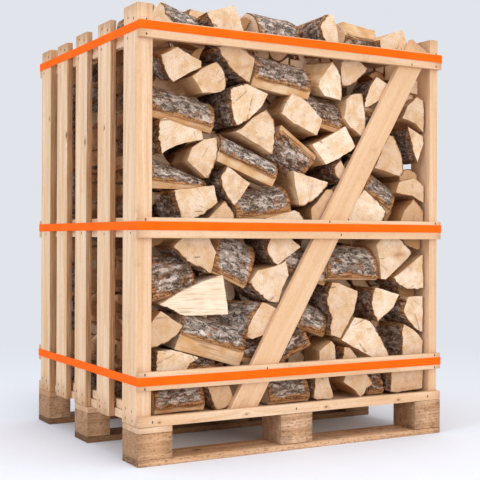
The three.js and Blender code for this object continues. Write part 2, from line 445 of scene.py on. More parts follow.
def studio_paper():
    """Matt white studio paper: near white under the object, and as pale as the wall far away."""
    finish, tree, shader = new_finish("matt_studio_paper", 0.9, 0.1)
    place = put(tree, "TexCoord").outputs["Object"]
    share = share_between(tree, weighted_length(tree, place, (1, 1, 1)), 0.7, 3.4)
    shader.inputs["Base Color"].default_value = paint("#ebedf1")
    glow = put(tree, "Emission", {"Color": paint(WALL), "Strength": 1.0})
    both = put(tree, "MixShader", {0: share, 1: shader.outputs[0], 2: glow.outputs[0]})
    tree.links.new(both.outputs[0], tree.nodes["Material Output"].inputs["Surface"])
    return finish


floor_mesh = bpy.data.meshes.new("floor")
floor_mesh.from_pydata([(-60, -60, 0), (60, -60, 0), (60, 60, 0), (-60, 60, 0)], [], [(0, 1, 2, 3)])
floor_mesh.materials.append(studio_paper())
floor = placed("floor", floor_mesh)

bpy.context.scene.view_settings.view_transform = "Standard"
world = bpy.data.worlds.new("studio")
bpy.context.scene.world = world
world.use_nodes = True
sky = world.node_tree.nodes["Background"]
sky.inputs["Color"].default_value = paint(WALL)
sky.inputs["Strength"].default_value = 1.0

# Large soft boxes round the crate: name, place and size in metres, watts, and colour
SOFT_BOXES = [
    ("front_box", (-0.6, -4.4, 2.4), 2.4, 42, "#ffffff"),
    ("low_box", (0.9, -4.6, 0.9), 1.6, 38, "#ffffff"),
    ("left_box", (-4.4, -1.2, 1.8), 2.4, 86, "#dcecff"),
    ("top_box", (0.2, -0.6, 4.4), 2.6, 48, "#ffffff"),
]
for name, place, size, watts, colour in SOFT_BOXES:
    box = bpy.data.lights.new(name, "AREA")
    box.size = size
    box.energy = watts
    box.color = paint(colour)[:3]
    lamp = placed(name, box)
    away = Vector(place) - Vector((0, 0, 0.6))
    lamp.matrix_world = Matrix.Translation(place) @ away.to_track_quat("Z", "Y").to_matrix().to_4x4()


# ---- Sawn boards and blocks ----


def board_section(width, height, radius, step):
    """Loop round a rectangle with rounded arrises: its points and outward normals, anticlockwise."""
    points, normals = [], []
    half = np.array([width, height]) / 2 - radius
    for quarter, (sx, sy) in enumerate([(1, 1), (-1, 1), (-1, -1), (1, -1)]):
        turn = np.radians(90 * quarter + np.array([0, 30, 60, 90]))
        arc = np.stack([np.cos(turn), np.sin(turn)], axis=-1)
        corner = half * np.array([sx, sy])
        points.append(corner + arc * radius)
        normals.append(arc)
        following = half * np.array([(-sx, sy), (sx, -sy)][quarter % 2])
        span = np.abs(following - corner).max()
        share = np.linspace(0, 1, max(2, round(span / step)) + 1)[1:-1, None]
        side = arc[-1]
        points.append((1 - share) * (corner + side * radius) + share * (following + side * radius))
        normals.append(np.repeat(side[None], len(share), axis=0))
    return np.concatenate(points), np.concatenate(normals)


# The knots of a board: how far from its middle and how far along the first is, its share of the usual
# size, and how far on the next one is. Lengths are in metres, and FAR is off every board.
FAR = 9.0
CLEAR = (FAR, FAR, 1.0, FAR)
KNOT_SPACING = 0.55
KNOTS = {
    "slat_left_1": (0.004, 0.79, 0.4, FAR),
    "slat_left_2": (0.034, 0.765, 0.7, FAR),
    "slat_left_3": (0.038, 0.795, 0.9, FAR),
    "corner_post_back_left": (0.032, 0.86, 0.55, FAR),
    "corner_post_front_left": CLEAR,
    "rail_top_front": (-0.01, 0.66, 0.6, FAR),
    "rail_middle_front": CLEAR,
    "rail_bottom_front": CLEAR,
    "brace_front": CLEAR,
    "edge_board_front": (0.003, 0.32, 0.35, 0.26),
    "bottom_board_front": (0.01, 0.2, 0.8, 0.31),
}

# How dark a board is where it is plain to see: 0 to 1 is the usual range, partly the board's own tone and
# partly painted shade; below 0 it is paler as painted light, and 2 is painted deep shade.
TONES_AND_SHADE = {
    "slat_left_1": 0.4,
    "slat_left_2": 0.2,
    "slat_left_3": 0.35,
    "corner_post_back_left": 0.7,
    "corner_post_front_left": 0.7,
    "rail_top_front": 1.1,
    "rail_middle_front": 1.1,
    "rail_bottom_front": 0.85,
    "brace_front": 1.3,
    "edge_board_front": 0.45,
    "corner_post_front_right": 1.1,
    "block_front_left": 1.1,
    "packer_front": 0.1,
    "packer_middle": 0.8,
    "packer_back": 1.8,
    "block_middle_left": 0.5,
    "block_back_left": 1.0,
    "block_front_centre": -0.15,
    "bottom_board_front": 0.2,
    "bottom_board_middle": 2.0,
    "bottom_board_back": 2.0,
    "block_middle_centre": 2.0,
    "block_middle_right": 2.0,
}


ARRIS = 1.4 * MM  # radius of a board's worn edges
WEAR = 0.3 * MM  # how deep its faces are worn on average
ROUND_STEP = 12 * MM  # how far apart its points are round it
RING_STEP = 30 * MM  # and along it


def board_shape(name, start, end, across_start, across_end, through):
    """A sawn board: a rounded rectangle carried from one end's middle to the other's.

    Each ring is the section times the width vector, which runs evenly from across_start to
    across_end, plus the section times the thickness vector. The faces sink by a fraction of a
    millimetre of noise, never outwards.
    """
    random = np.random.default_rng(list(name.encode()))
    length = np.linalg.norm(end - start)
    width = 2 * np.linalg.norm(across_end)
    height = 2 * np.linalg.norm(through)
    radius = min(ARRIS, height / 4)
    loop, normals = board_section(width, height, radius, ROUND_STEP)
    inner = np.linspace(radius, length - radius, max(3, round(length / RING_STEP)))
    places = np.concatenate([[0, 0, 0.3 * radius], inner, [length - 0.3 * radius, length, length]])
    insets = np.concatenate([[radius, radius, 0.3 * radius], inner * 0, [0.3 * radius, radius, radius]])
    section = loop[None] - normals[None] * insets[:, None, None]
    section[[0, -1]] *= 0.6
    drop = np.stack(np.broadcast_arrays(section[..., 0], section[..., 1], places[:, None]), axis=-1)
    seed = int(random.integers(1, 9999))
    worn = lattice_noise(drop, (0.02, 0.02, 0.15), seed) + 1
    section = section - normals[None] * (worn * WEAR * (insets == 0)[:, None])[..., None]
    share = (places / length)[:, None, None]
    across = (1 - share) * across_start + share * across_end
    rings = (1 - share) * start + share * end
    rings = rings + section[..., :1] * across / (width / 2) + section[..., 1:] * through / (height / 2)

    # The pith lies outside the board, a little out of line with it, so the rings run out on its faces.
    pith_aside = random.uniform(-0.4, 0.4) * width
    pith_depth = random.choice([-1, 1]) * random.uniform(0.02, 0.07)
    lean = random.uniform(-0.02, 0.02, 2)
    along = np.broadcast_to(places[:, None], section.shape[:2])
    grain = [section[..., 0] - pith_aside + lean[0] * along, section[..., 1] - pith_depth + lean[1] * along]
    grain = np.stack([*grain, along + random.uniform(0, 9)], axis=-1)
    aside, ahead = random.uniform(-0.4, 0.4) * width, random.uniform(0.2, 0.8) * length
    anywhere = (aside, ahead, random.uniform(0.3, 1), KNOT_SPACING)
    aside, ahead, large, spacing = KNOTS.get(name, anywhere)
    knot = np.stack([section[..., 0] - aside, 0 * along + spacing, along - ahead], axis=-1) / large

    # Dust and weather darken the sawn ends, the slats' and back posts' stretch next to them and the rails'
    # narrow sides. Painted shade darkens the narrow sides of the slats and back posts, which fall in shade
    # between the slats; next to the other boards' ends the darkening is partly dust and partly painted
    # shade where a rail meets a post.
    upright = name.startswith(("slat", "corner_post_back"))
    narrow = np.abs(normals[:, 1]) < 0.5
    sides = narrow * (0.95 if upright else 0.285 * name.startswith("rail"))
    ends = np.zeros(len(places))
    ends[[0, 1, -2, -1]] = 1.08 if name.startswith("bottom_board") else 0.6
    reach, most = (0.05, 0.9) if upright else (0.035, 0.6)
    near_end = np.clip(1 - np.minimum(places, length - places) / reach, 0, 1) * most
    dirt_and_shade = np.maximum(sides, np.maximum(ends, near_end)[:, None])
    points, faces = closed_tube(rings)
    values = {"grain": with_middles(grain), "dirt_and_shade": with_middles(dirt_and_shade), "knot": with_middles(knot)}
    values["tone_and_shade"] = np.full(len(points), TONES_AND_SHADE.get(name, random.uniform(0, 0.8)))
    return {"points": points, "faces": faces, "picks": [0, 0, 0], "values": values}


def boxed_board(node, long=None):
    """The ends and half sizes of a board that fills a CAD node's box, along one axis or the longest."""
    low, high = (np.array(corner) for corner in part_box(node))
    size = high - low
    order = np.argsort(size)[::-1]
    long = order[0] if long is None else long
    wide, thin = [axis for axis in order if axis != long]
    middle = (low + high) / 2
    run, across, through = np.zeros(3), np.zeros(3), np.zeros(3)
    run[long] = size[long] / 2
    across[wide] = size[wide] / 2
    through[thin] = size[thin] / 2
    if np.dot(np.cross(across, through), run) < 0:
        across = -across
    return middle - run, middle + run, across, across, through


def braced_board(node):
    """The ends and half widths of a brace, whose foot is cut level and whose head is cut square."""
    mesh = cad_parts[node].data
    flat = np.empty(len(mesh.vertices) * 3)
    mesh.vertices.foreach_get("co", flat)
    corners = np.unique(flat.reshape(-1, 3).round(5), axis=0)
    near = corners[:, 1].min()
    far = corners[:, 1].max()
    outline = corners[corners[:, 1] == near]
    outline = outline[np.argsort(outline[:, 2])]
    foot = outline[:2][np.argsort(outline[:2, 0])]
    head = outline[2:][np.argsort(outline[2:, 0])]
    back = np.array([0, (far - near) / 2, 0])
    across_foot = (foot[0] - foot[1]) / 2
    across_head = (head[0] - head[1]) / 2
    return foot.mean(0) + back, head.mean(0) + back, across_foot, across_head, -back


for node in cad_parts:
    kind = node.split("_")[0]
    if kind in ("strap", "logs"):
        continue
    along_x = kind in ("block", "packer")
    measures = braced_board(node) if kind == "brace" else boxed_board(node, 0 if along_x else None)
    pallet = kind == "block" or node.startswith("bottom_board")
    finish, slot = (PALLET_TIMBER, "pallet_wood") if pallet else (SAWN_PINE, "sawn_pine")
    new_piece("sawn_" + node, [board_shape(node, *measures)], [finish], [node])


# ---- Straps ----

STRAP_THICKNESS = 1.2 * MM
STRAP_BEND = 2.2 * MM  # inner radius where it turns a corner
STRAP_STEP = 20 * MM  # how far apart its rings are
STRAP_RISE = 0.5 * MM  # how far it wanders up and down
STRAP_TRIM = 1.2 * MM  # how much narrower than its solid it is, to leave room for that


def strap_shape(node):
    """A flat tape carried round the crate: a rounded rectangle path with its corners turned in arcs."""
    low, high = (np.array(corner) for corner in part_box(node))
    size = high - low
    path, outward = board_section(*(size[:2] - STRAP_THICKNESS), STRAP_BEND, STRAP_STEP)
    half_section = np.array([(0.5, 0.3), (0.5, -0.3), (0.42, -0.47), (0, -0.5), (-0.42, -0.47)])
    section = np.concatenate([half_section, -half_section])
    spots = np.pad(path, ((0, 0), (0, 1))) + (high + low) / 2
    rise = lattice_noise(spots, (0.25, 0.25, 0.25), 5) * STRAP_RISE
    rings = spots[:, None] + np.pad(outward, ((0, 0), (0, 1)))[:, None] * (section[:, :1] * STRAP_THICKNESS)
    rings[..., 2] += section[:, 1] * (size[2] - STRAP_TRIM) + rise[:, None]
    run = np.concatenate([[0], np.cumsum(np.linalg.norm(np.diff(path, axis=0), axis=1))])
    grain = np.stack(np.broadcast_arrays(0 * run[:, None], section[:, 1] * size[2], run[:, None]), axis=-1)
    faces = tube_faces(*rings.shape[:2], joined=True)
    values = {"grain": grain.reshape(-1, 3)}
    return {"points": rings.reshape(-1, 3), "faces": [faces], "picks": [0], "values": values}


for node in ("strap_bottom", "strap_middle", "strap_top"):
    new_piece("woven_" + node, [strap_shape(node)], [TAPE], [node])


# ---- Firewood ----

FRONT_LOW, FRONT_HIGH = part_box("logs_front")
FRONT = FRONT_LOW[1] + 0.5 * MM
RANK = FRONT_HIGH[1] - FRONT_LOW[1] - 1.0 * MM  # length of a log
BARK_BULGE = 0.035  # how far a bark edge bulges, as a share of its length
RIM_WIDTH = 16 * MM  # how far the bark's broken edge reaches
SAW_FADE = 50 * MM  # how far from the end the section turns square to the log


def log_section(corners, bark, step):
    """Loop round a log: straight cleft edges, and bark edges bulging out.

    `corners` go round anticlockwise and `bark` says which edges have bark. A bark edge is an arc
    that rises by BARK_BULGE. Returns the points, and whether each stretch is bark.
    """
    following = np.roll(corners, -1, axis=0)
    points, flags = [], []
    for corner, after, barked in zip(corners, following, bark):
        edge = after - corner
        length = np.linalg.norm(edge)
        count = max(3 if barked else 2, round(length / step))
        share = (np.arange(count) / count)[:, None]
        out = np.array([edge[1], -edge[0]])
        rise = (BARK_BULGE if barked else 0.0) * 4 * share * (1 - share)
        points.append(corner + share * edge + rise * out)
        flags.append(np.full(count, barked))
    points = np.concatenate(points)
    flags = np.concatenate(flags)
    inside = (flags & np.roll(flags, 1))[:, None]
    for _ in range(3):
        mean = points / 2 + np.roll(points, 1, 0) / 4 + np.roll(points, -1, 0) / 4
        points = np.where(inside, mean, points)
    return points, flags


def turned_area(outline):
    """Area of an outline, below zero where it goes round clockwise."""
    after = np.roll(outline, -1, axis=0)
    return np.sum(outline[:, 0] * after[:, 1] - outline[:, 1] * after[:, 0]) / 2


def log_shape(
    corners, edges, start, axis, length, bark, wood, seed,
    step=4.2 * MM, row=8 * MM, face=None, swell=1.0, crosswise=False,
):
    """A split log: its section carried along a straight axis from `start`.

    `corners` are in the plane square to the axis, as (left, up) seen along it, and `edges` says
    which of their edges have bark. The ring at distance t is the section, tapered and bowed a
    little, and pushed out along its normal by furrows on the bark and by torn fibres on the cleft
    faces. Both ends are flat saw cuts, square to `face`. `bark` and `wood` are the two tones.
    """
    random = np.random.default_rng([seed, 71])
    axis = axis / np.linalg.norm(axis)
    up = np.array([0.0, 0.0, 1.0]) - axis[2] * axis
    up /= np.linalg.norm(up)
    left = np.cross(up, axis)
    if turned_area(corners) < 0:
        corners = corners[::-1]
        edges = np.roll(edges[::-1], -1)
    loop, barked = log_section(corners, edges, step)
    ahead = np.roll(loop, -1, axis=0) - np.roll(loop, 1, axis=0)
    ahead /= np.linalg.norm(ahead, axis=1)[:, None] + 1e-9
    normals = np.stack([ahead[:, 1], -ahead[:, 0]], axis=-1)
    middle = loop.mean(0)
    size = np.sqrt(np.mean(np.sum((loop - middle) ** 2, axis=1)))

    count = max(4, round(length / row))
    t = np.linspace(0, length, count + 1)
    spots = np.stack(np.broadcast_arrays(loop[:, 0], loop[:, 1], t[:, None]), axis=-1)
    on_bark = (barked | np.roll(barked, 1)).astype(float)
    furrow = (4.5 if bark < 0.55 else 2.0) * MM
    ridges = np.abs(lattice_noise(spots, (0.012, 0.012, 0.035), seed))
    lumps = lattice_noise(spots, (0.04, 0.04, 0.06), seed + 1)
    flakes = lattice_noise(spots, (0.006, 0.006, 0.012), seed + 4)
    bark_rise = (0.4 - ridges) * furrow + lumps * 1.2 * MM + flakes * 0.9 * MM
    fibres = lattice_noise(spots, (0.009, 0.009, 0.3), seed + 2) * 0.9 * MM
    tears = lattice_noise(spots, (0.03, 0.03, 0.11), seed + 3) * 1.6 * MM
    rise = on_bark * bark_rise + (1 - on_bark) * (fibres + tears)
    taper = 1 + random.uniform(-0.06, 0.02) * t / length
    bow = random.uniform(-1, 1, 2) * 0.012 * length
    sway = np.sin(np.pi * t / length)[:, None] * bow
    grow = np.stack([taper, taper * (1 + (swell - 1) * t / length)], axis=-1)[:, None]
    rings = middle + (loop[None] - middle) * grow + normals[None] * rise[..., None] + sway[:, None]

    # The caps: rings drawn in towards the middle, by 3 mm, by 7 mm and to 0.45 of their size.
    draws = np.array([1 - 3 * MM / size, 1 - 7 * MM / size, 0.45])
    caps = [middle + (ring - middle) * draws[:, None, None] for ring in (rings[0], rings[-1])]
    section = np.concatenate([caps[0][::-1], rings, caps[1]])
    along = np.concatenate([np.zeros(3), t, np.full(3, length)])
    cut = left * section[..., :1] + up * section[..., 1:]
    wish = axis if face is None else face
    tilt = wish + random.normal(0, 0.02, 3)
    skew = -(cut @ tilt) / (axis @ tilt)
    from_cut = np.minimum(along, length - along)
    body = np.clip(from_cut / SAW_FADE, 0, 1)
    shift = along[:, None] + skew * (1 - body)[:, None]
    points, faces = closed_tube(start + cut + axis * shift[..., None])

    # `rim` is how far each point is from the nearest break in the bark, in RIM_WIDTH. On the caps it
    # grows from 0 at an edge with bark to 1 at the middle.
    bare = 1 - np.convolve(np.concatenate([on_bark[-1:], on_bark, on_bark[:1]]), [0.25, 0.5, 0.25], "valid")
    arc = np.cumsum(np.linalg.norm(np.diff(loop, axis=0, append=loop[:1]), axis=1))
    breaks = arc[on_bark != np.roll(on_bark, -1)]
    apart = np.abs(arc[:, None] - np.append(breaks, FAR)[None])
    from_edge = np.minimum(apart, np.abs(arc[-1] - apart)).min(1)
    rim = np.minimum(from_edge[None], from_cut[:, None]) / RIM_WIDTH
    for k, level in enumerate([0.0, 0.5, 1.0, 1.0]):
        rim[3 - k] = np.maximum(level, bare)
        rim[len(section) - 4 + k] = np.maximum(level, bare)

    # The pith is opposite the furthest point of the bark, a little outside the section.
    furthest = np.argmax(on_bark * np.sum((loop - middle) ** 2, axis=1))
    out = middle - loop[furthest] if on_bark.any() else bow
    pith = middle + out / (np.linalg.norm(out) + 1e-9) * size * 1.1
    down = shift + random.uniform(0, 5)
    grain = np.stack([section[..., 0] - pith[0], section[..., 1] - pith[1], down], axis=-1)
    if crosswise:
        grain = grain[..., [2, 1, 0]]
    picks = np.where(barked, BARK, CLEFT)[None].repeat(len(section) - 1, axis=0)
    end = CLEFT if crosswise else CROSSCUT
    picks[:3] = end
    picks[-3:] = end
    values = {"grain": with_middles(grain), "rim": with_middles(rim)}
    # The wood's tone: a value above 1 darkens the cleft and sawn faces as painted shade.
    values["tone_and_shade"] = np.full(len(points), wood)
    values["bark"] = np.full(len(points), bark)
    return {"points": points, "faces": faces, "picks": [picks.ravel(), end, end], "values": values}


def bark_edges(corners, towards, spread):
    """Which edges of a section carry bark: those that look within `spread` degrees of `towards`."""
    if towards is None:
        return np.zeros(len(corners), bool)
    edge = np.roll(corners, -1, axis=0) - corners
    side = np.degrees(np.arctan2(-edge[:, 0], edge[:, 1])) + (0 if turned_area(corners) > 0 else 180)
    off = (side - towards + 180) % 360 - 180
    return np.abs(off) <= spread


def facing_log(name, towards, spread, back, yaw, pitch, bark, wood, corners, front, length, **detail):
    """A log whose sawn end faces the crate's front, with its corners as X and Z in cm.

    `towards` and `spread` say which edges have bark, `back` how far the end is set back in cm, and
    `yaw` and `pitch` how the log is turned, in degrees.
    """
    outline = np.array(corners, float) * CM
    middle = outline.mean(0)
    edges = bark_edges(outline, towards, spread)
    turn, rise = math.radians(yaw), math.radians(pitch)
    axis = np.array([math.sin(turn) * math.cos(rise), math.cos(turn) * math.cos(rise), math.sin(rise)])
    local = outline - middle
    local[:, 0] *= -math.cos(turn)
    local[:, 1] *= math.cos(rise)
    start = np.array([middle[0], front + back * CM, middle[1]])
    seed = sum(name.encode()) * 7 + len(name)
    face = np.array([0.0, 1.0, 0.0])
    return log_shape(local, edges, start, axis, length - back * CM, bark, wood, seed, face=face, **detail)


def lying_log(name, x0, z0, x1, z1, thick, deep, back0, back1, lip, bark, wood, swell=1.0):
    """A log that lies across the front, from (x0, z0) to (x1, z1), its ends set back by back0 and back1.

    Its section is a bark arc that rises from the front to the top, and cleft faces round the rest.
    `lip` is the share of the front that is a cleft face below the bark, or above it where negative.
    """
    start = np.array([x0 * CM, FRONT + (back0 + deep / 2) * CM, z0 * CM])
    end = np.array([x1 * CM, FRONT + (back1 + deep / 2) * CM, z1 * CM])
    axis = end - start
    rest = 1 - abs(lip)
    arc = [(0.5, 0.0), (0.47, 0.4 * rest), (0.33, 0.76 * rest), (0.02, rest)]
    section = np.array([*arc, (-0.5, rest - 0.3), (-0.35, 0.08 - abs(lip)), (0.42, -abs(lip))])
    section = (section - np.array([0, 0.5 - abs(lip)])) * np.array([-1, 1 if lip >= 0 else -1])
    section = section * np.array([deep, thick]) * CM
    seed = sum(name.encode()) * 5 + 3
    length = np.linalg.norm(axis)
    return log_shape(section, np.arange(7) < 3, start, axis, length, bark, wood, seed, swell=swell)


